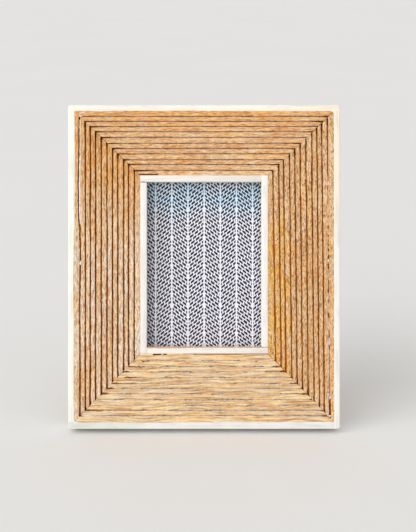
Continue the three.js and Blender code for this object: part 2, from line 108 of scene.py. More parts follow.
def area_of(strips, inner):
    """The area inside four strips, or else the one that they reach over, as the places of its sides."""
    left, top, right, bottom = (panel_box(f"{strips}_{side}") for side in SIDES)
    near, far = (1, 0) if inner else (0, 1)
    return {"left": left[near][0], "right": right[far][0], "top": top[far][2], "bottom": bottom[near][2]}


FACE, BACK = (corner[1] for corner in panel_box("rail_left"))
OUTSIDE = area_of("edge", inner=False)
EDGE_INSIDE = area_of("edge", inner=True)
EDGE_THICKNESS = {side: abs(EDGE_INSIDE[side] - OUTSIDE[side]) for side in SIDES}
POCKET = area_of("rail", inner=True)
LINER_OUTSIDE = area_of("liner", inner=False)
LINER_INSIDE = area_of("liner", inner=True)
LINER_THICKNESS = {side: abs(LINER_INSIDE[side] - LINER_OUTSIDE[side]) for side in SIDES}


def side_points(side, area, across, along, depth):
    """Panel points of places given across from one side of an area, along it, and behind the face. side is
    the side's number.
    """
    corner_x, corner_z = (area[edge] for edge in CORNERS[side])
    step_x, step_z = ALONG[side]
    across, along, depth = np.broadcast_arrays(across, along, depth)
    x = corner_x + step_x * along + step_z * across
    z = corner_z + step_z * along - step_x * across
    return np.stack([x, FACE + depth, z], -1)


def side_length(side, area):
    return area["top"] - area["bottom"] if side % 2 == 0 else area["right"] - area["left"]


# Meshes

def new_piece(name, points, faces, materials, body, replaced=(), sharp=30):
    """A mesh piece of panel points, with its faces turned out, that rides on a body."""
    mesh = bpy.data.meshes.new(name)
    mesh.from_pydata(to_world(points).tolist(), [], faces)
    bm = bmesh.new()
    bm.from_mesh(mesh)
    bmesh.ops.recalc_face_normals(bm, faces=bm.faces)
    bm.to_mesh(mesh)
    bm.free()
    for material in materials:
        mesh.materials.append(material)
    return add_piece(name, mesh, body, replaced, sharp)


def add_piece(name, mesh, body, replaced=(), sharp=30):
    mesh.shade_smooth()
    mesh.set_sharp_from_angle(angle=math.radians(sharp))
    piece = bpy.data.objects.new(name, mesh)
    bpy.context.scene.collection.objects.link(piece)
    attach(piece, body)
    if replaced:
        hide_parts(*replaced)
    return piece


def loft(rows):
    """(points, faces) of a closed body through cross-sections, each one a loop of as many points."""
    count = len(rows[0])
    points = np.concatenate(rows)
    faces = []
    for row in range(len(rows) - 1):
        start = row * count
        for i in range(count):
            j = (i + 1) % count
            faces.append((start + i, start + j, start + count + j, start + count + i))
    faces.append(tuple(range(count)))
    faces.append(tuple(range(len(points) - count, len(points))))
    return points, faces


def wander(rng, places, step, size=1.0):
    """A smooth random curve over places, with a new value between -size and size at each step."""
    low = places.min()
    knots = rng.uniform(-size, size, int((places.max() - low) / step) + 3)
    spot = (places - low) / step + rng.uniform(0, 1)
    left = np.floor(spot).astype(int)
    share = spot - left
    share = share * share * (3 - 2 * share)
    return knots[left] * (1 - share) + knots[np.minimum(left + 1, len(knots) - 1)] * share


def rounding(distance, radius):
    """How far a rounded edge has fallen at a distance from where its flat side would end."""
    inside = np.clip(radius - distance, 0, radius)
    return radius - np.sqrt(radius ** 2 - inside ** 2)


# Materials

class Shading:
    """A procedural material, with short calls for its nodes. Its place is the surface's, in panel axes."""

    def __init__(self, name, **sockets):
        self.material = bpy.data.materials.new(name)
        self.material.use_nodes = True
        self.nodes = self.material.node_tree.nodes
        self.links = self.material.node_tree.links
        self.shader = self.nodes["Principled BSDF"]
        for socket, value in sockets.items():
            self.set(self.shader, socket.replace("_", " "), value)
        coordinates = self.nodes.new("ShaderNodeTexCoord")
        self.surface = coordinates.outputs["Normal"]
        self.place = self.mapping(coordinates.outputs["Object"], scale=(1 / MM,) * 3, turn=(LEAN, 0, 0))

    def set(self, node, socket, value):
        target = node.inputs[socket]
        if isinstance(value, bpy.types.NodeSocket):
            self.links.new(value, target)
        elif isinstance(value, tuple) and len(value) == 3 and target.type == "RGBA":
            target.default_value = (*value, 1)
        else:
            target.default_value = value

    def node(self, kind, output=0, settings=None, **sockets):
        node = self.nodes.new(kind)
        for name, value in (settings or {}).items():
            setattr(node, name, value)
        for socket, value in sockets.items():
            self.set(node, socket.replace("_", " "), value)
        return node.outputs[output]

    def mapping(self, vector, scale=(1, 1, 1), turn=(0, 0, 0), move=(0, 0, 0)):
        return self.node("ShaderNodeMapping", Vector=vector, Scale=scale, Rotation=turn, Location=move)

    def noise(self, scale, detail=4, rough=0.55, stretch=(1, 1, 1), turn=(0, 0, 0), move=(0, 0, 0),
              bend=0.0, place=None):
        """Noise of so many waves a millimetre, over the place stretched and moved."""
        vector = self.mapping(place or self.place, stretch, turn, move)
        return self.node("ShaderNodeTexNoise", 0, Vector=vector, Scale=scale, Detail=detail, Roughness=rough,
                         Distortion=bend)

    def math(self, how, first, second=0.0, third=0.0):
        node = self.nodes.new("ShaderNodeMath")
        node.operation = how
        for i, value in enumerate((first, second, third)):
            self.set(node, i, value)
        return node.outputs[0]

    def span(self, value, low, high, to_low=0.0, to_high=1.0):
        """value, with low to high brought smoothly to to_low to to_high, and clamped."""
        settings = {"interpolation_type": "SMOOTHSTEP"}
        return self.node("ShaderNodeMapRange", 0, settings, Value=value, From_Min=low, From_Max=high,
                         To_Min=to_low, To_Max=to_high)

    def ramp(self, value, *stops):
        """Colour from (place, sRGB colour) stops."""
        node = self.nodes.new("ShaderNodeValToRGB")
        elements = node.color_ramp.elements
        while len(elements) < len(stops):
            elements.new(1.0)
        for element, (place, colour) in zip(elements, stops):
            element.position = place
            element.color = (*linear(colour), 1)
        self.set(node, 0, value)
        return node.outputs[0]

    def blend(self, share, first, second, how="MIX"):
        node = self.nodes.new("ShaderNodeMix")
        node.data_type = "RGBA"
        node.blend_type = how
        node.clamp_factor = True
        self.set(node, 0, share)
        self.set(node, 6, first)
        self.set(node, 7, second)
        return node.outputs[2]

    def facing(self, direction):
        """Cosine between the surface and a direction in the frame's own space at rest."""
        node = self.nodes.new("ShaderNodeVectorMath")
        node.operation = "DOT_PRODUCT"
        self.set(node, 0, self.surface)
        self.set(node, 1, tuple(direction))
        return node.outputs["Value"]

    def axis(self, name):
        return self.node("ShaderNodeSeparateXYZ", name, Vector=self.place)

    def bump(self, height, distance, strength=1.0):
        """Normal from a height of 0 to 1 that stands for distance in millimetres."""
        return self.node("ShaderNodeBump", Height=height, Distance=distance * MM, Strength=strength)

    def finish(self, **sockets):
        for socket, value in sockets.items():
            self.set(self.shader, socket.replace("_", " "), value)
        return self.material


def linear(colour):
    """Linear colour of an sRGB colour of 0 to 255."""
    shares = [c / 255 for c in colour]
    return tuple(c / 12.92 if c <= 0.04045 else ((c + 0.055) / 1.055) ** 2.4 for c in shares)


# Where the four tones of wood lie on its ramps
TONE_PLACES = (0.36, 0.45, 0.54, 0.66)


def wood(name, upright, tones, saw_cut, seed, sweep, streaky, fleck, trend=None, golden=None):
    """Waxed, open-grained wood, with its grain up the panel or across it. tones are four sRGB colours from
    the darkest streak to the palest. saw_cut has the colours in its cuts, as in_the_cuts takes them. seed is
    where its noises start, and sweep is how far its grain bends. streaky is how much the broad streaks show,
    and how short they are. fleck is how much the short flecks show, how many come to a millimetre, how short
    they are, by how many degrees they slope, and how dark the pores are. trend is a colour and the two
    heights between which it comes in. golden are the four tones of a yellow stain on the inner strips.
    """
    s = Shading(name, Specular_IOR_Level=0.18)
    across, along = (s.axis("X"), s.axis("Z")) if upright else (s.axis("Z"), s.axis("X"))
    depth = s.math("SUBTRACT", s.axis("Y"), FACE)
    in_front = s.math("LESS_THAN", depth, 2 * KERF_DEPTH)
    move = (seed * 17.3, seed * 5.1, seed * 9.7)
    drift = s.math("SUBTRACT", s.noise(0.022, 2, 0.5, move=move), 0.5)
    bent = s.math("ADD", across, s.math("MULTIPLY", drift, sweep * 10))
    grain = s.node("ShaderNodeCombineXYZ", X=bent, Y=along, Z=depth)
    streaks = s.noise(1.0, 4, 0.65, (1, streaky[1], 0.4), move=move, bend=0.2, place=grain)
    fibres = s.noise(2.2, 3, 0.6, (1, 0.14, 0.5), move=move, place=grain)
    patches = s.noise(0.06, 2, 0.5, (1, 0.5, 1), move=move, place=grain)
    tone = s.math("MULTIPLY_ADD", streaks, streaky[0], s.math("MULTIPLY", fibres, 0.88 - streaky[0]))
    tone = s.math("MULTIPLY_ADD", patches, 0.12, tone)
    amount, scale, shortness, slope, porous = fleck
    flecks = s.noise(scale, 2, 0.6, (1, shortness, 0.5), (0, 0, math.radians(slope)), move, place=grain)
    seen = s.math("MULTIPLY_ADD", in_front, 0.65, 0.35)
    shown = s.math("MULTIPLY", seen, amount)
    calm = s.math("MULTIPLY_ADD", s.math("SUBTRACT", flecks, 0.5), 0.45, tone)
    tone = s.math("MULTIPLY_ADD", s.math("SUBTRACT", flecks, 0.5), shown, tone)
    colour = s.ramp(tone, *zip(TONE_PLACES, tones))
    hue = s.span(s.noise(0.6, 3, 0.6, (1, 0.09, 0.4), move=move[::-1], place=grain), 0.38, 0.62)
    warm_or_cool = s.blend(hue, linear((255, 241, 214)), linear((240, 246, 255)))
    colour = s.blend(0.8, colour, warm_or_cool, "MULTIPLY")
    if trend:
        share = s.span(s.axis("Z"), trend[1], trend[2])
        colour = s.blend(share, colour, linear(trend[0]), "MULTIPLY")
    if golden:
        stained = golden_stain(s, in_front)
        gold = s.ramp(calm, *zip(TONE_PLACES, golden))
        colour = s.blend(stained, colour, gold)
    pores = s.noise(1.9, 2, 0.5, (1, 0.3, 0.5), (0, 0, math.radians(slope)), move, place=grain)
    pores = s.math("MULTIPLY", s.span(pores, 0.57, 0.66), s.math("MULTIPLY", seen, porous))
    colour = s.blend(pores, colour, linear((126, 80, 44)))
    chalk = s.noise(1.9, 2, 0.5, (1, 0.45 * shortness, 0.5), move=move[::-1], place=grain)
    chalk = s.math("MULTIPLY", s.span(chalk, 0.56, 0.68), s.math("MULTIPLY", seen, 0.5 - 0.2 * amount))
    colour = s.blend(chalk, colour, linear((250, 234, 216)))
    colour = in_the_cuts(s, colour, depth, in_front, *saw_cut)
    if golden:
        soaked = s.math("MULTIPLY", s.math("MULTIPLY", stained, 0.6), s.span(depth, 0.08, 0.25))
        colour = s.blend(soaked, colour, linear((214, 122, 22)))
    return s.finish(Base_Color=colour, Normal=s.bump(fibres, 0.05, 0.6),
                    Roughness=s.span(fibres, 0.3, 0.7, 0.42, 0.6))


def in_the_cuts(s, colour, depth, in_front, lip, inside, dust_and_painted_light=None, dark=None):
    """Colours of the worn lips and the inside of the saw cuts, partly their stain and partly painted shade
    that darkens a cut as it goes deeper, patchy and with darker spots. A pale colour, where given, is painted
    light on their walls that look up, and dark is the colour of a painted shade in the cuts near two mitres,
    with the corner and the reach of each.
    """
    ragged = s.math("MULTIPLY", s.math("SUBTRACT", s.noise(1.3, 3, 0.6), 0.5), 0.3)
    fall = s.math("ADD", depth, ragged)
    patchy = s.span(s.noise(0.5, 3, 0.6, move=(31, 7, 3)), 0.4, 0.66)
    # The lip and inside colours are partly stain and partly painted shade, where the face falls into a cut and
    # down in it.
    lip = s.blend(patchy, linear(lip), linear([0.86 * c for c in lip]))
    on_lip = s.math("MULTIPLY", s.span(fall, 0.05, 0.2), in_front)
    colour = s.blend(on_lip, colour, lip)
    dark_spots = s.span(s.noise(0.55, 2, 0.5, move=(5, 41, 17)), 0.58, 0.68)
    patchy_inside = s.blend(patchy, linear(inside), linear([0.74 * c for c in inside]))
    inside = s.blend(s.math("MULTIPLY", dark_spots, 0.8), patchy_inside, linear([0.4 * c for c in inside]))
    # Painted shade in the cuts near the mitres, where they meet those of the next rail.
    shade_near_mitre = 0.0
    if dark:
        shade_near_mitre = s.math("MAXIMUM", *(from_mitre(s, *spot) for spot in dark[1:]))
        inside = s.blend(shade_near_mitre, inside, linear(dark[0]))
    in_cut = s.math("MULTIPLY", s.span(fall, 0.2, 0.5), in_front)
    colour = s.blend(in_cut, colour, inside)
    # Painted light: a pale colour on the cut walls that look up, broken up by noise and left off near the
    # mitres.
    if dust_and_painted_light:
        up = s.facing(to_world([0, 0, 1]) / MM)
        broken = s.span(s.noise(0.35, 3, 0.6), 0.36, 0.56)
        painted_light_on_up_walls = s.math("MULTIPLY", s.span(up, 0.2, 0.5), s.span(depth, 0.08, 0.2))
        painted_light_on_up_walls = s.math("MULTIPLY", s.math("MULTIPLY", painted_light_on_up_walls, in_front), broken)
        painted_light_on_up_walls = s.math("MULTIPLY", painted_light_on_up_walls, s.math("SUBTRACT", 1.0, shade_near_mitre))
        colour = s.blend(painted_light_on_up_walls, colour, linear(dust_and_painted_light))
    return colour


def from_mitre(s, corner, reach):
    """1 on the mitre at a corner of the wood, and 0 further than about reach from it along a groove."""
    end, level = CORNERS[corner]
    slope = (POCKET[end] - EDGE_INSIDE[end]) / (POCKET[level] - EDGE_INSIDE[level])
    away = s.math("MULTIPLY_ADD", s.axis("Z"), -slope, s.axis("X"))
    away = s.math("ABSOLUTE", s.math("SUBTRACT", away, EDGE_INSIDE[end] - slope * EDGE_INSIDE[level]))
    uneven = s.math("MULTIPLY", s.math("SUBTRACT", s.noise(0.4, 2, 0.5, (0.3, 1, 1)), 0.5), 2.4 * reach)
    return s.span(s.math("ADD", away, uneven), 0.4 * reach, reach, 1, 0)


def golden_stain(s, in_front):
    """Share of the yellow stain on the right rail's inner strips, from the middle of the picture down."""
    across = s.math("SUBTRACT", s.axis("X"), POCKET["right"])
    ragged = s.math("SUBTRACT", s.noise(0.2, 3, 0.6, (1.6, 1, 0.5)), 0.5)
    near = s.span(s.math("MULTIPLY_ADD", ragged, 16, across), 8, 13, 1, 0)
    middle = (POCKET["top"] + POCKET["bottom"]) / 2
    height = s.math("SUBTRACT", s.axis("Z"), middle)
    low = s.span(s.math("MULTIPLY_ADD", ragged, 60, height), 6, 26, 1, 0)
    stained = s.math("MULTIPLY", s.math("MULTIPLY", near, low), in_front)
    mottled = s.span(s.noise(0.6, 3, 0.6, (1.2, 1, 0.2)), 0.38, 0.56, 0.15, 1)
    return s.math("MULTIPLY", stained, mottled)


def bone(name, tint, speckle, upright=True, orange_line_corner=None, fade=None):
    """Polished bone, ivory, with fine streaks along the strip, faint clouds and the short pale-grey canals
    that bone shows, as strongly as speckle says. Where the top corner of a strip by the glass is given, a
    thin, ragged orange-brown line is coloured along the strip there. fade is another tint and the two places
    along the strip between which it comes in.
    """
    s = Shading(name, Roughness=0.32, Specular_IOR_Level=0.5)
    fine = s.noise(2.2, 3, 0.6)
    lengthwise = (1, 1, 0.06) if upright else (0.06, 1, 1)
    clouds = s.math("MULTIPLY", s.noise(0.1, 2, 0.5), 0.4)
    streaks = s.math("MULTIPLY_ADD", s.noise(1.1, 3, 0.6, lengthwise), 0.6, clouds)
    colour = linear(tint)
    if fade:
        colour = s.blend(s.span(s.axis("Z" if upright else "X"), *fade[1:]), colour, linear(fade[0]))
    colour = s.blend(s.span(streaks, 0.36, 0.56, 1, 0), colour, linear((240, 240, 240)), "MULTIPLY")
    canals = s.noise(1.6, 2, 0.5, (1, 1, 0.35) if upright else (0.35, 1, 1))
    canals = s.math("MULTIPLY", s.span(canals, 0.6, 0.75), speckle)
    colour = s.blend(canals, colour, linear((205, 196, 182)))
    # A thin, ragged orange-brown line along the strip's top, by the glass and at the face.
    if orange_line_corner is not None:
        ragged = s.math("MULTIPLY", s.math("SUBTRACT", s.noise(0.9, 3), 0.5), 0.8)
        reach = s.span(s.axis("X"), -18, 2, 0.8, 0.45)
        upper = s.math("ADD", s.math("ADD", s.axis("Z"), ragged), reach)
        upper = s.span(upper, orange_line_corner[2], orange_line_corner[2] + 0.3)
        deep = s.span(s.math("ADD", s.axis("Y"), ragged), orange_line_corner[1] - 0.7, orange_line_corner[1] - 0.4)
        front = s.span(s.axis("Y"), FACE + 0.5, FACE + 0.7, 1, 0)
        orange_line = s.math("MULTIPLY", upper, s.math("MAXIMUM", deep, front))
        colour = s.blend(s.math("MULTIPLY", orange_line, 0.9), colour, linear((212, 136, 56)))
    return s.finish(Base_Color=colour, Normal=s.bump(fine, 0.02, 0.5),
                    Roughness=s.span(fine, 0.3, 0.7, 0.26, 0.42))


def glass_material():
    """Clear picture glass: what is behind shows, under the soft reflection of the room, with a painted bluish
    reflection on its upper part.
    """
    s = Shading("picture_glass")
    smudge = s.noise(0.05, 3, 0.5)
    gloss = s.nodes.new("ShaderNodeBsdfGlossy")
    s.set(gloss, "Color", (0.95, 0.98, 1.0))
    s.set(gloss, "Roughness", s.span(smudge, 0.3, 0.7, 0.02, 0.08))
    clear = s.nodes.new("ShaderNodeBsdfTransparent")
    # Painted reflection: a soft bluish tint on the upper part of the glass, in patches.
    high_up = s.span(s.axis("Z"), 0.62 * OUTSIDE["top"], 0.72 * OUTSIDE["top"])
    painted_reflection = s.math("MULTIPLY", s.span(s.noise(0.05, 2, 0.5), 0.36, 0.6, 0.3, 1), high_up)
    s.set(clear, "Color", s.blend(painted_reflection, (0.99, 0.985, 0.995), (0.9, 0.965, 1.0)))
    mixed = s.nodes.new("ShaderNodeMixShader")
    front = s.math("SUBTRACT", 1.0, s.node("ShaderNodeNewGeometry", "Backfacing"))
    s.set(mixed, 0, s.math("MULTIPLY", s.node("ShaderNodeFresnel", IOR=1.45), front))
    s.links.new(clear.outputs[0], mixed.inputs[1])
    s.links.new(gloss.outputs[0], mixed.inputs[2])
    s.links.new(mixed.outputs[0], s.nodes["Material Output"].inputs["Surface"])
    return s.material


def print_material():
    """Printed herringbone: columns of slanting dashes, parted by white lines, in blue-black on white."""
    s = Shading("herringbone_print", Roughness=0.55, Specular_IOR_Level=0.15)
    column, pitch, dash = 8.2, 1.8, 2.4
    wobble = s.math("MULTIPLY", s.math("SUBTRACT", s.noise(0.7, 2), 0.5), 0.4)
    x, z = s.math("ADD", s.axis("X"), wobble), s.math("ADD", s.axis("Z"), wobble)
    turn = s.math("PINGPONG", x, column)
    slant = s.math("MULTIPLY_ADD", turn, 0.75, z)
    row = s.math("FLOORED_MODULO", slant, pitch)
    ink = s.math("COMPARE", row, pitch / 2, 0.36 * pitch)
    step = s.math("MULTIPLY", s.math("FLOOR", s.math("DIVIDE", slant, pitch)), 0.37 * dash)
    place = s.math("FLOORED_MODULO", s.math("ADD", turn, step), dash)
    ink = s.math("MULTIPLY", ink, s.math("GREATER_THAN", place, 0.2 * dash))
    centre = s.math("MULTIPLY", s.math("GREATER_THAN", turn, 0.35), s.math("LESS_THAN", turn, column - 0.35))
    ink = s.math("MULTIPLY", ink, centre)
    worn = s.span(s.noise(2.6, 3, 0.6), 0.26, 0.38)
    colour = s.blend(s.math("MULTIPLY", ink, worn), linear((251, 252, 255)), linear((17, 12, 42)))
    return s.finish(Base_Color=colour)


METAL_ROUGHNESS = 0.22


def plain_metal(name, colour, dark, crown=None):
    """Plated or rolled metal with fine scratches and a little tarnish. Where crown is the direction in which
    heads look, their rims get painted shade, darker as they turn from it, so that the heads read as domed.
    """
    s = Shading(name, Metallic=1.0, Roughness=METAL_ROUGHNESS)
    scratches = s.noise(5, 3, 0.6, (1, 0.08, 1), (0.3, 0.8, 0.2))
    tarnish = s.span(s.noise(0.7, 4, 0.65), 0.44, 0.68)
    tarnish_and_rim_shade = s.math("MULTIPLY", tarnish, 0.3)
    # Painted shade on the rims of domed heads, darker as the surface turns from crown.
    if crown is not None:
        tarnish_and_rim_shade = s.math("MAXIMUM", tarnish_and_rim_shade, s.span(s.facing(crown), 0.8, 0.995, 0.95, 0))
    base = s.blend(tarnish_and_rim_shade, linear(colour), linear(dark))
    rough = s.span(scratches, 0.3, 0.7, METAL_ROUGHNESS - 0.06, METAL_ROUGHNESS + 0.1)
    rough = s.math("MULTIPLY_ADD", tarnish, 0.12, rough)
    return s.finish(Base_Color=base, Roughness=rough, Normal=s.bump(scratches, 0.008, 0.5))


def grained_paper():
    """Black paper on the board and the leg, pressed with a fine leather grain and rubbed in places."""
    s = Shading("black_grained_paper", Specular_IOR_Level=0.5)
    bent = s.blend(0.25, s.place, s.node("ShaderNodeTexNoise", 1, Vector=s.place, Scale=0.9), "ADD")
    cells = s.node("ShaderNodeTexVoronoi", 0, {"feature": "DISTANCE_TO_EDGE"}, Vector=bent, Scale=0.65)
    grain = s.span(cells, 0.0, 0.2)
    dust_and_painted_light = s.span(s.noise(0.3, 4, 0.6), 0.52, 0.78)
    rubbed = s.span(s.noise(0.08, 3, 0.6, (1, 1, 0.4)), 0.42, 0.62)
    colour = s.blend(s.math("MULTIPLY", dust_and_painted_light, 0.3), linear((44, 42, 41)), linear((96, 92, 88)))
    colour = s.blend(s.span(grain, 0, 1, 0.6, 0), colour, linear((13, 12, 12)))
    return s.finish(Base_Color=colour, Normal=s.bump(grain, 0.14),
                    Roughness=s.span(rubbed, 0, 1, 0.56, 0.4))


def fibreboard():
    """Sawn edge of brown fibreboard."""
    s = Shading("fibreboard_edge", Roughness=0.85, Specular_IOR_Level=0.2)
    layers = s.noise(1.4, 4, 0.65, (0.3, 2, 0.3))
    specks = s.span(s.noise(5, 2), 0.6, 0.72)
    colour = s.ramp(layers, (0.3, (112, 84, 58)), (0.7, (150, 118, 84)))
    colour = s.blend(s.math("MULTIPLY", specks, 0.5), colour, linear((70, 50, 34)))
    return s.finish(Base_Color=colour, Normal=s.bump(layers, 0.05, 0.6))


def card_material():
    s = Shading("grey_card", Roughness=0.9, Specular_IOR_Level=0.2)
    fibres = s.noise(3, 4, 0.6, (1, 1, 0.4))
    return s.finish(Base_Color=s.ramp(fibres, (0.3, (168, 154, 130)), (0.7, (190, 178, 156))))


def dried_paste(name, dark, pale):
    """Paste that has dried in a cut or joint, such as filler or glue."""
    s = Shading(name, Roughness=0.7, Specular_IOR_Level=0.2)
    lumps = s.noise(2.4, 3, 0.6)
    return s.finish(Base_Color=s.ramp(lumps, (0.3, dark), (0.7, pale)), Normal=s.bump(lumps, 0.05, 0.6))


# In each saw_cut, the lip and inside colours are partly stain and partly painted shade; the third colour,
# where given, is painted light on the cut walls that look up, and the last is a painted shade near two mitres.
WOODS = {
    "left": wood(
        "wood_left", upright=True, seed=1, sweep=0.4,
        tones=((190, 142, 100), (216, 184, 148), (235, 214, 188), (246, 236, 218)),
        saw_cut=((212, 152, 88), (172, 88, 20), None, ((78, 40, 18), (0, 2), (1, 3))),
        streaky=(0.3, 0.03), fleck=(0.66, 2.6, 0.15, 5, 0.5), trend=((250, 216, 160), 70, 135),
    ),
    "top": wood(
        "wood_top", upright=False, seed=2, sweep=0.6,
        tones=((200, 132, 72), (223, 171, 112), (236, 192, 142), (246, 217, 174)),
        saw_cut=((208, 165, 124), (196, 142, 100), (218, 204, 196), ((110, 62, 30), (1, 9), (2, 5))),
        streaky=(0.5, 0.04), fleck=(0.85, 2.0, 0.14, 3, 0.4), trend=((255, 236, 198), 140, 155),
    ),
    "right": wood(
        "wood_right", upright=True, seed=3, sweep=0.4,
        tones=((180, 128, 80), (214, 168, 120), (234, 196, 150), (246, 224, 190)),
        saw_cut=((206, 150, 86), (194, 114, 36), None, ((78, 40, 18), (2, 4), (3, 3))),
        streaky=(0.38, 0.06), fleck=(0.7, 2.3, 0.22, 9, 0.85), trend=((252, 247, 244), 115, 85),
        golden=((176, 112, 36), (214, 162, 76), (238, 192, 102), (248, 216, 134)),
    ),
    "bottom": wood(
        "wood_bottom", upright=False, seed=4, sweep=0.9,
        tones=((184, 138, 96), (220, 178, 132), (240, 209, 162), (250, 231, 192)),
        saw_cut=((226, 192, 150), (228, 192, 152), (222, 216, 208), ((160, 94, 50), (3, 3.5), (0, 9))),
        streaky=(0.64, 0.026), fleck=(0.7, 1.6, 0.055, 3, 0.18),
    ),
}
# The bottom strip's greyer, darker tint is painted shade.
EDGE_BONES = {
    "left": bone("bone_left", (240, 239, 229), 0.12, fade=((246, 243, 232), 30, 80)),
    "top": bone("bone_top", (248, 242, 231), 0.12, upright=False, fade=((246, 236, 220), 30, 60)),
    "right": bone("bone_right", (243, 239, 231), 0.12, fade=((247, 235, 217), 85, 120)),
    "bottom": bone("bone_bottom", (225, 226, 217), 0.16, upright=False, fade=((234, 232, 227), -41, -27)),
}
GLASS_FOOT = (0, panel_box("glass_pane")[0][1], LINER_INSIDE["bottom"])
LINER_BONES = {
    "left": bone("bone_liner_left", (240, 234, 229), 0.3),
    "top": bone("bone_liner_top", (239, 231, 221), 0.35, upright=False),
    "right": bone("bone_liner_right", (243, 239, 233), 0.25),
    "bottom": bone("bone_liner_bottom", (243, 234, 224), 0.3, upright=False, orange_line_corner=GLASS_FOOT),
}
FILLER = dried_paste("white_filler", (214, 216, 224), (244, 244, 248))
THIN_FILLER = dried_paste("thin_filler", (222, 206, 198), (240, 234, 232))
BONE_PASTE = dried_paste("bone_paste", (222, 212, 198), (242, 236, 228))
BROWN_GLUE = dried_paste("brown_glue", (96, 40, 20), (150, 74, 40))
BRASS = plain_metal("brass_plate", (206, 168, 96), (118, 86, 44))
BOARD_RIVET = plain_metal("board_rivet_brass", (206, 168, 96), (84, 56, 24), BOARD_OUT)
LEG_RIVET = plain_metal("leg_rivet_brass", (206, 168, 96), (84, 56, 24), LEG_OUT)
STEEL = plain_metal("zinc_steel", (194, 196, 196), (104, 104, 102))
PAPER = grained_paper()
FIBREBOARD = fibreboard()


# Grooved rails

# For each side, half the width of a groove, how much that varies, how far its worn lips reach, how much it
# wobbles and how much dust chokes it here and there
GROOVES = {
    "left": (0.3, 0.22, 0.26, 1.4, 0.1),
    "top": (0.18, 0.42, 0.36, 2.0, 0.6),
    "right": (0.28, 0.34, 0.26, 1.8, 0.2),
    "bottom": (0.16, 0.85, 0.52, 4.0, 2.4),
}
# How far the bone reaches over its mean line into the wood, at even steps along each side
BONE_WAVES = {
    "left": (-0.05, -0.1, -0.05, -0.1, -0.3, -0.1, 0.3, 0.4, 0.4, 0.3),
    "top": (-0.05, 0.25, -0.05, 0.0, -0.05, 0.05, 0.05, 0.0, 0.1, 0.15),
    "right": (0.15, 0.1, 0.15, 0.1, 0.05, 0.1, 0.05, 0.05, 0.0, 0.0),
    "bottom": (0.3, 0.25, 0.15, 0.1, 0.05, 0.0, -0.25, -0.25, -0.1, -0.1),
}
# For each corner, the strips, counted from the outer edge, whose mitre shows as a dark gap
OPEN_MITRES = ((2, 3, 9, 11, 12), (5, 6, 8, 9, 10, 11, 12), (1, 2, 3, 4), (10, 11, 12))
MITRE_HALF_GAP = 0.08
# Where a cut is wider and chipped: its side and number, shares of the side between which, and how much
WIDE_CUTS = {("left", 0): ((0.63, 0.97, 0.26),)}
# Where a cut bends: its side and number, places along the side and how far in it stands there
BENT_CUTS = {("left", 0): ((60, 76, 87, 98, 107, 120, 134), (0.0, 0.15, 0.2, 0.0, -0.3, -0.45, -0.2))}
# The outer cut of the right side is closed but for these pieces: from, to, and how far open
BROKEN_CUT = (
    (2.9, 40.0, 0.85), (40.0, 47.0, 0.45), (52.0, 54.0, 0.5), (57.6, 59.6, 0.9), (62.0, 63.4, 0.9),
    (64.8, 66.0, 0.9), (66.7, 68.0, 0.9), (69.0, 70.7, 0.9), (72.0, 75.8, 1.0), (76.4, 79.6, 1.0),
    (84.6, 91.7, 0.8), (94.0, 96.2, 0.6), (101.2, 104.0, 1.1), (109.5, 120.0, 1.0), (120.0, 142.3, 0.45),
    (142.3, 153.4, 1.2),
)
CLOSED_CUT = 0.12
# Where a dark gap shows between wood and liner: shares of the side between which it lies, and its width
OPEN_JOINTS = {
    "top": ((-0.01, 0.15, 0.7),),
    "bottom": ((-0.01, 0.67, 0.3), (0.2, 0.59, 0.46), (0.784, 0.822, 0.7), (0.826, 0.9, 0.9)),
}
# Shape of a lip and of the wall under it, from the face down: how far from the cut, and how deep
LIP_SHAPE = ((1.0, 0.0), (0.6, 0.083), (0.3, 0.286), (0.08, 0.61), (0.0, 1.0))
WALL_SHAPE = ((0.8, 0.6), (0.45, 0.96))
STRIP_PLACES = (0.15, 0.4, 0.6, 0.85)
# How far the strips lie behind the CAD rail's face, and how far their crown falls to their sides
STRIP_DROP = 0.05
CROWN = 0.035


def bone_reach(side, share):
    """How far the bone reaches into the wood at a share of the way along a side."""
    wave = BONE_WAVES[SIDES[side]]
    places = np.linspace(0, 1, len(wave))
    course = np.interp(share, places, wave)
    return course + 0.04 * np.sin(share * 61 + side) + 0.03 * np.sin(share * 143 + 2 * side)


def between(places, start, stop, taper):
    """1 between two places and 0 outside them, with a short taper inside each."""
    return np.clip(np.minimum(places - start, stop - places) / taper, 0, 1)


def opening(places, pieces, closed, taper):
    """How far open a cut or joint is over places: closed, but for pieces given as (start, stop, size)."""
    opened = np.full_like(places, closed)
    for start, stop, size in pieces:
        opened = np.maximum(opened, size * between(places, start, stop, taper))
    return opened


def groove(rng, along, middle, shape, crowd):
    """Centre, half width, the reach of the two lips and the depth of one groove, all over along. crowd is 1
    at its ends and falls from there.
    """
    half, vary, lip, wobble, dust_and_painted_light = shape
    centre = middle + wander(rng, along, 17, 0.08)
    centre = centre + wobble * (wander(rng, along, 5, 0.03) + wander(rng, along, 1.7, 0.04))
    half = half * (1 + wander(rng, along, 9, vary) + wander(rng, along, 1.6, vary / 2)) + 0.12 * crowd
    lips = [lip + 0.7 * np.maximum(0, wander(rng, along, 1.3) - 0.4) for _ in range(2)]
    choked = np.clip(dust_and_painted_light * (wander(rng, along, 6) + rng.uniform(-0.35, 0.45) - 0.1 * crowd), 0, 1)
    floor = KERF_DEPTH * (1 + wander(rng, along, 12, 0.12)) * (1 - 0.8 * choked)
    return centre, half * (1 - 0.7 * choked), [reach * (1 - 0.5 * choked) for reach in lips], floor


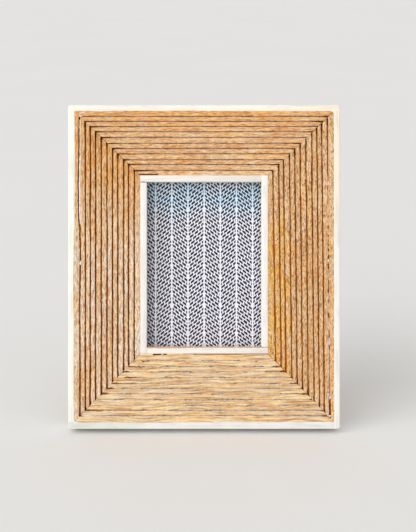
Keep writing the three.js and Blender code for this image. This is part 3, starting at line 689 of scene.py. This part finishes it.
def rail_face(rng, name, along, middles, start, widest):
    """Across and depth of the face of a rail, each as rows over along, with a worn, chipped groove at each
    middle, and each groove's row and centre. start and widest are the wood's two edges.
    """
    across, depth, courses = [start], [np.full_like(along, 0.06)], []
    share = along / along.max()
    from_end = np.minimum(along, along.max() - along)
    crowd = np.exp(-from_end / 4)
    drift = np.interp(share, (0, 1), GROOVE_DRIFT[name])
    last, height = start, STRIP_DROP + wander(rng, along, 40, 0.03)
    for number, middle in enumerate(middles):
        centre, half, lips, floor = groove(rng, along, middle + drift, GROOVES[name], crowd)
        half = half + opening(share, WIDE_CUTS.get((name, number), ()), closed=0, taper=0.02)
        if (name, number) in BENT_CUTS:
            centre = centre + np.interp(along, *BENT_CUTS[name, number])
        if (name, number) == ("right", 0):
            places = middle + (along.max() - 2 * middle) * share
            opened = opening(places, BROKEN_CUT, closed=CLOSED_CUT, taper=0.4)
            half, floor, lips = half * opened, floor * opened, [lip * opened for lip in lips]
        courses.append((len(across), centre))
        edge = centre - half - lips[0]
        add_strip(rng, along, across, depth, last, edge, height)
        height_after = STRIP_DROP + wander(rng, along, 40, 0.045)
        for reach, fall in LIP_SHAPE:
            across.append(centre - half - lips[0] * reach)
            depth.append(height + CROWN + lips[0] * fall)
        for reach, fall in WALL_SHAPE:
            across.append(centre - half * reach)
            depth.append(height + lips[0] + (floor - lips[0]) * fall)
        across.append(centre)
        depth.append(floor)
        for reach, fall in reversed(WALL_SHAPE):
            across.append(centre + half * reach)
            depth.append(height_after + lips[1] + (floor - lips[1]) * fall)
        for reach, fall in reversed(LIP_SHAPE):
            across.append(centre + half + lips[1] * reach)
            depth.append(height_after + CROWN + lips[1] * fall)
        last, height = centre + half + lips[1], height_after
    add_strip(rng, along, across, depth, last, widest, height)
    across.append(widest)
    depth.append(height + 0.05)
    return np.array(across), np.array(depth), courses


def add_strip(rng, along, across, depth, start, stop, height):
    """The slightly crowned top of one strip."""
    for share in STRIP_PLACES:
        across.append(start + (stop - start) * share)
        fall = CROWN * (2 * share - 1) ** 2
        depth.append(height + fall + wander(rng, along, 6, 0.012))


def mitre_gap(across, middles, corner):
    """Half the gap at a corner's mitre for each row of a rail's face, and whether it is open there."""
    strips = 1 + np.searchsorted(middles, across.mean(1))
    is_open = np.isin(strips, OPEN_MITRES[corner])[:, None]
    return np.where(is_open, MITRE_HALF_GAP, 0.0), is_open


# Filled in with each rail: for each of its cuts, places along it and how far in its centre is there, and for
# its inner edge, shares of its length, their places and how far in it is there
COURSES = {}
INNER_EDGES = {}


def grooved_rail(side):
    """One rail, sawn with grooves that meet those of its neighbours on the mitres."""
    name = SIDES[side]
    rng = np.random.default_rng(40 + side)
    widths = {edge: abs(POCKET[edge] - EDGE_INSIDE[edge]) for edge in SIDES}
    width, before, after = widths[name], widths[SIDES[side - 1]], widths[SIDES[(side + 1) % 4]]
    length = side_length(side, EDGE_INSIDE)
    ends = np.array([0.0, 0.12, 0.3, 0.6])
    even = np.linspace(1.2, length - 1.2, int(length / RAIL_SLICE))
    along = np.concatenate([ends, even, length - ends[::-1]])
    share = along / length
    middles = width * np.cumsum(STRIP_STEPS[name])[:-1] / sum(STRIP_STEPS[name])
    widest = width + GLUE - opening(share, OPEN_JOINTS.get(name, ()), closed=0, taper=0.01)
    across, depth, courses = rail_face(rng, name, along, middles, bone_reach(side, share), widest)
    # each row runs from mitre to mitre, and the worn arris there keeps its size
    start_gap, start_open = mitre_gap(across, middles, side)
    stop_gap, stop_open = mitre_gap(across, middles, (side + 1) % 4)
    start_cut, stop_cut = (rounding(across, CORNER_RADII[corner]) for corner in (side, (side + 1) % 4))
    start = np.maximum(across / width * before + start_gap, start_cut)
    stop = np.maximum(across / width * after + stop_gap, stop_cut)
    place = start + (length - stop - start) * share
    is_open = np.where(share < 0.5, start_open, stop_open)
    worn = np.where(is_open, 0.6 + wander(rng, along, 0.9, 0.4), 0.15)
    depth = depth + np.maximum(0, 0.3 - np.minimum(along, length - along)) * worn
    COURSES[name] = [(place[row], centre) for row, centre in courses]
    INNER_EDGES[name] = (share, place[-1], widest)
    face = side_points(side, EDGE_INSIDE, across, place, depth)
    back_across = np.array([np.full_like(along, width + GLUE), bone_reach(side, share)])
    back_start = back_across / width * before + GLUE / 2
    back_stop = length - back_across / width * after - GLUE / 2
    back_place = back_start + (back_stop - back_start) * share
    back = side_points(side, EDGE_INSIDE, back_across, back_place, BACK - FACE)
    loops = np.concatenate([face, back])
    points, faces = loft(loops.swapaxes(0, 1))
    new_piece(f"rail_{name}_grooved", points, faces, [WOODS[name]], "frame", [f"rail_{name}"],
              sharp=50)


for rail_side in range(4):
    grooved_rail(rail_side)


# Filler left in the cuts: the side and number of the cut, from where to where along the side, how far in
# from the cut's centre it lies, and its half width
FILLER_TRACES = (
    ("left", 0, 99.2, 134.4, 0.34, 0.38),
    ("left", 0, 133.8, 152.0, 0.3, 0.24),
    ("left", 0, 78.9, 81.0, 0.1, 0.46),
    ("right", 0, 35.0, 37.4, -0.1, 0.36),
    ("right", 0, 74.2, 75.8, 0.0, 0.36),
    ("right", 0, 113.6, 117.6, 0.05, 0.26),
    ("right", 0, 142.6, 144.8, -0.1, 0.32),
    ("bottom", 0, 1.4, 3.6, 0.0, 0.38),
    ("bottom", 0, 121.4, 126.6, 0.1, 0.3),
    ("top", 0, 2.2, 4.4, -0.1, 0.3),
)
# Paste in the joint at the end of each liner: half its width, and what it is
LINER_JOINTS = {
    "left": (0.28, BROWN_GLUE),
    "top": (0.18, BONE_PASTE),
    "right": (0.18, BONE_PASTE),
    "bottom": (0.18, BONE_PASTE),
}
# Course of a smear of filler over the mitre at the top left, in from the wood's top edge and from its left
SMEAR = ((2.6, 2.7), (1.8, 2.7), (1.2, 3.1), (0.85, 3.9), (0.7, 5.0), (0.75, 6.2))
SMEAR_HALF_WIDTH = 0.3
PASTE_THICKNESS = 0.3
PASTE_TAPER = 0.8  # how long the thin ends of a ridge of paste are


def paste_ridge(name, side, rng, places, across, along, half_width, top, material, area=EDGE_INSIDE):
    """A thin, uneven ridge of dried paste. across and along are its course over places, which are distances
    along it, and top is how far behind the face it starts.
    """
    fullness = np.sqrt(np.maximum(0.02, between(places, 0, places[-1], PASTE_TAPER)))
    width = half_width * fullness * (1 + wander(rng, places, 1.1, 0.35))
    top = top + 0.12 * (1 - fullness) + wander(rng, places, 0.9, 0.04)
    steps = np.gradient(np.array([across, along]), axis=1)
    steps = steps / np.linalg.norm(steps, axis=0)
    turns = np.linspace(0, 2 * math.pi, 12, endpoint=False)[:, None]
    spread = width * np.cos(turns)
    depth = top + PASTE_THICKNESS - (PASTE_THICKNESS + 0.05 * np.cos(2 * turns)) * np.sin(turns)
    loops = side_points(side, area, across + steps[1] * spread, along - steps[0] * spread, depth)
    points, faces = loft(loops.swapaxes(0, 1))
    new_piece(name, points, faces, [material], "frame")


def filler_trace(number, trace):
    """Filler that lies in a cut, just under the face."""
    name, cut, first, last, inward, half_width = trace
    rng = np.random.default_rng(80 + number)
    place, centre = COURSES[name][cut]
    along = np.linspace(first, last, max(8, int((last - first) / 0.3)))
    middle = np.interp(along, place, centre) + inward
    paste_ridge(f"filler_{name}_{number + 1}", SIDES.index(name), rng, along - first, middle, along,
                half_width, 0.1, FILLER)


def filler_smear():
    """Filler smeared over the wood's face at the top left."""
    course = np.array(SMEAR)
    gaps = np.linalg.norm(np.diff(course, axis=0), axis=1)
    reached = np.concatenate([[0], np.cumsum(gaps)])
    places = np.linspace(0, reached[-1], 24)
    across, along = (np.interp(places, reached, course[:, i]) for i in (0, 1))
    paste_ridge("filler_smear", SIDES.index("top"), np.random.default_rng(79), places, across, along,
                SMEAR_HALF_WIDTH, 0.0, THIN_FILLER)


def glue_bead(name, number):
    """Brown glue that shows in one open joint between the wood and the liner."""
    low, high, gap = OPEN_JOINTS[name][number]
    share, place, edge = INNER_EDGES[name]
    inside = (share > low) & (share < high)
    places = place[inside] - place[inside][0]
    across = edge[inside] + gap / 2
    rng = np.random.default_rng(70 + number)
    paste_ridge(f"glue_{name}_{number + 1}", SIDES.index(name), rng, places, across, place[inside],
                gap / 2 + 0.04, gap + 0.04, BROWN_GLUE)


def liner_joint(side):
    """Paste in the joint where the liner of one side butts against the next."""
    name = SIDES[side]
    joint = side_length(side, LINER_OUTSIDE) - LINER_THICKNESS[SIDES[(side + 1) % 4]] - GLUE / 2
    across = np.linspace(0.05, LINER_THICKNESS[name] - 0.05, 14)
    half_width, material = LINER_JOINTS[name]
    top = panel_box(f"liner_{name}")[0][1] - FACE - 0.04
    paste_ridge(f"joint_{name}", side, np.random.default_rng(90 + side), across - across[0], across,
                np.full_like(across, joint), half_width, top, material, LINER_OUTSIDE)


for trace_number, filler in enumerate(FILLER_TRACES):
    filler_trace(trace_number, filler)
for liner_side in range(4):
    liner_joint(liner_side)
filler_smear()
for joint_side, joints in OPEN_JOINTS.items():
    for joint_number in range(len(joints)):
        glue_bead(joint_side, joint_number)


# Bone

def bone_strip(side):
    """One bone strip of the edging, from the strip before it to the round corner where it laps the next."""
    name = SIDES[side]
    rng = np.random.default_rng(60 + side)
    length = side_length(side, OUTSIDE)
    begin = EDGE_THICKNESS[SIDES[side - 1]]
    ends = np.array([0.0, 0.02, 0.08, 0.2, 0.4, 0.7, 1.0, 1.4])
    even = np.arange(begin + BONE_SLICE, length - 2, BONE_SLICE)
    along = np.concatenate([[begin], even, length - ends[::-1]])
    to_end = length - along
    outside_wave = wander(rng, along, 25, 0.03) + 0.03
    front_wave = wander(rng, along, 30, 0.02) + 0.02
    outside = rounding(to_end, OUTER_RADIUS) + outside_wave * (to_end > 2)
    front = rounding(to_end, FRONT_RADIUS) + front_wave
    step = EDGE_THICKNESS[SIDES[(side + 1) % 4]]
    wood_share = np.clip((along - begin) / (length - begin - step), 0, 1)
    reach = bone_reach(side, wood_share) * (to_end > step) * (along > begin + 0.1)
    inside = EDGE_THICKNESS[name] + reach
    across, depth = [], []
    for turn in np.linspace(0, math.pi / 2, 5):
        across.append(outside + ARRIS * (1 - math.cos(turn)))
        depth.append(front + ARRIS * (1 - math.sin(turn)))
    for distance, fall in ((0.5, 0), (0.25, 0), (0.06, 0.015), (0, 0.07)):
        across.append(inside - distance)
        depth.append(front + fall)
    across += [inside, inside - 0.15, outside + 0.15, outside]
    depth += [np.full_like(along, BACK - FACE - fall) for fall in (0.15, 0, 0, 0.15)]
    loops = side_points(side, OUTSIDE, np.array(across), along, np.array(depth))
    points, faces = loft(loops.swapaxes(0, 1))
    new_piece(f"edge_{name}_bone", points, faces, [EDGE_BONES[name]], "frame", [f"edge_{name}"],
              sharp=40)


def corner_fill(side):
    """Bone that fills the rounded corner of the wood at the start of one side."""
    name = SIDES[side]
    turns = np.linspace(0, math.pi / 2, 9)
    radius = CORNER_RADII[side] + 0.1
    behind = -GLUE
    across = np.concatenate([[behind, behind], radius - radius * np.cos(turns), [radius]])
    along = np.concatenate([[behind, radius], radius - radius * np.sin(turns), [behind]])
    rows = [side_points(side, EDGE_INSIDE, across, along, depth) for depth in (0.03, 2.0)]
    points, faces = loft(rows)
    new_piece(f"corner_fill_{name}", points, faces, [EDGE_BONES[name]], "frame")


for bone_side in range(4):
    bone_strip(bone_side)
    corner_fill(bone_side)


# CAD shapes with softened edges

# Widths of the bevels in millimetres, and how many faces round off each
LINER_BEVEL = (0.1, 2)
METAL_BEVEL = (0.12, 2)
SCREW_BEVEL = (0.1, 2)
BUTTON_BEVEL = (0.25, 3)
RIVET_BEVEL = (0.5, 5)
BOARD_BEVEL = (0.2, 2)
LEG_BEVEL = (0.25, 3)


def softened(node, body, materials, bevel, pick=None):
    """A copy of a CAD node's shape with its edges bevelled. pick(face) gives a face's material by number."""
    bm = bmesh.new()
    bm.from_mesh(NODES[node].data)
    bmesh.ops.remove_doubles(bm, verts=bm.verts, dist=0.002 * MM)
    bmesh.ops.dissolve_limit(bm, angle_limit=math.radians(0.5), verts=bm.verts, edges=bm.edges)
    if pick:
        for face in bm.faces:
            face.material_index = pick(face)
    mesh = bpy.data.meshes.new(f"{node}_finish")
    for material in materials:
        mesh.materials.append(material)
    bm.to_mesh(mesh)
    bm.free()
    rough = bpy.data.objects.new("unbevelled", mesh)
    bpy.context.scene.collection.objects.link(rough)
    modifier = rough.modifiers.new("bevel", "BEVEL")
    modifier.width = bevel[0] * MM
    modifier.segments = bevel[1]
    modifier.limit_method = "ANGLE"
    modifier.angle_limit = math.radians(35)
    modifier.use_clamp_overlap = True
    graph = bpy.context.evaluated_depsgraph_get()
    finished = bpy.data.meshes.new_from_object(rough.evaluated_get(graph))
    bpy.data.objects.remove(rough)
    return add_piece(f"{node}_finish", finished, body, [node], sharp=35)


def covered_face(straight):
    """Paper on the faces that look along straight, and bare fibreboard on the rest."""
    return lambda face: 0 if abs(face.normal.dot(straight)) > 0.9 else 1


for side_name in SIDES:
    softened(f"liner_{side_name}", "frame", [LINER_BONES[side_name]], LINER_BEVEL)
for i in (1, 2):
    softened(f"board_rivet_{i}", "frame", [BOARD_RIVET], RIVET_BEVEL)
    softened(f"leg_rivet_{i}", "leg", [LEG_RIVET], RIVET_BEVEL)
for i in (1, 2, 3, 4):
    softened(f"turn_button_{i}", f"button_{i}", [STEEL], BUTTON_BEVEL)
    softened(f"button_screw_{i}", "frame", [STEEL], SCREW_BEVEL)
softened("hinge_leaf_board", "frame", [BRASS], METAL_BEVEL)
softened("hinge_leaf_leg", "leg", [BRASS], METAL_BEVEL)
softened("hinge_pin", "frame", [STEEL], METAL_BEVEL)
softened("backing_board", "frame", [PAPER, FIBREBOARD], BOARD_BEVEL, covered_face(BOARD_OUT))
softened("easel_leg", "leg", [PAPER, FIBREBOARD], LEG_BEVEL, covered_face(LEG_OUT))

for node, material in (("glass_pane", glass_material()), ("picture_print", print_material()),
                       ("filler_card", card_material())):
    for slot in NODES[node].material_slots:
        slot.link = "OBJECT"
        slot.material = material


# Stage

def stage_floor(radius):
    """A pale floor that fills the view and keeps the shadow."""
    bm = bmesh.new()
    bmesh.ops.create_circle(bm, cap_ends=True, segments=96, radius=radius)
    mesh = bpy.data.meshes.new("floor")
    bm.to_mesh(mesh)
    bm.free()
    s = Shading("pale_floor", Roughness=0.7, Specular_IOR_Level=0.2)
    s.finish(Base_Color=s.ramp(s.noise(0.004, 3), (0.3, (245, 244, 242)), (0.7, (247, 246, 244))))
    mesh.materials.append(s.material)
    floor = bpy.data.objects.new("floor", mesh)
    bpy.context.scene.collection.objects.link(floor)


def broad_light(name, direction, strength, spread):
    """Even light from one direction, as soft as a window of so many degrees across."""
    data = bpy.data.lights.new(name, "SUN")
    data.energy = strength
    data.angle = math.radians(spread)
    light = bpy.data.objects.new(name, data)
    light.rotation_euler = Vector(direction).to_track_quat("Z", "Y").to_euler()
    bpy.context.scene.collection.objects.link(light)


def world_light(strength, shown):
    """Even white light, and a pale background that the camera sees and that glass and metal mirror."""
    world = bpy.data.worlds.new("studio")
    bpy.context.scene.world = world
    world.use_nodes = True
    nodes, links = world.node_tree.nodes, world.node_tree.links
    background = nodes["Background"]
    background.inputs["Color"].default_value = (1, 1, 1, 1)
    path = nodes.new("ShaderNodeLightPath")
    seen = nodes.new("ShaderNodeMapRange")
    last = path.outputs["Is Camera Ray"]
    for ray in ("Is Glossy Ray", "Is Transmission Ray"):
        either = nodes.new("ShaderNodeMath")
        either.operation = "MAXIMUM"
        links.new(last, either.inputs[0])
        links.new(path.outputs[ray], either.inputs[1])
        last = either.outputs[0]
    links.new(last, seen.inputs["Value"])
    seen.inputs["To Min"].default_value = strength
    seen.inputs["To Max"].default_value = shown
    links.new(seen.outputs[0], background.inputs["Strength"])


def photo_camera():
    """Camera square to the frame's face, as far away as makes the frame as wide as it is in the photo."""
    boxes = [panel_box(f"edge_{side}") for side in SIDES]
    low = np.min([box[0] for box in boxes], axis=0)
    high = np.max([box[1] for box in boxes], axis=0)
    centre = (low + high) / 2
    pixels = FRAME_WIDTH_PIXELS / (high[0] - low[0])
    centre[0] += (VIEW_WIDTH / 2 - FRAME_CENTRE[0]) / pixels
    centre[2] += (FRAME_CENTRE[1] - VIEW_HEIGHT / 2) / pixels
    centre[1] = low[1] - FOCAL_PIXELS / pixels
    data = bpy.data.cameras.new("camera")
    data.sensor_width = 36
    data.lens = data.sensor_width * FOCAL_PIXELS / VIEW_HEIGHT
    camera = bpy.data.objects.new("camera", data)
    camera.location = to_world(centre)
    camera.rotation_euler = (math.pi / 2 - LEAN, 0, 0)
    bpy.context.scene.collection.objects.link(camera)
    bpy.context.scene.camera = camera


stage_floor(radius=12)
broad_light("window", direction=(-0.9, -1.0, 0.5), strength=1.9, spread=60)
world_light(strength=0.62, shown=0.78)
photo_camera()
bpy.context.scene.view_settings.view_transform = "Standard"
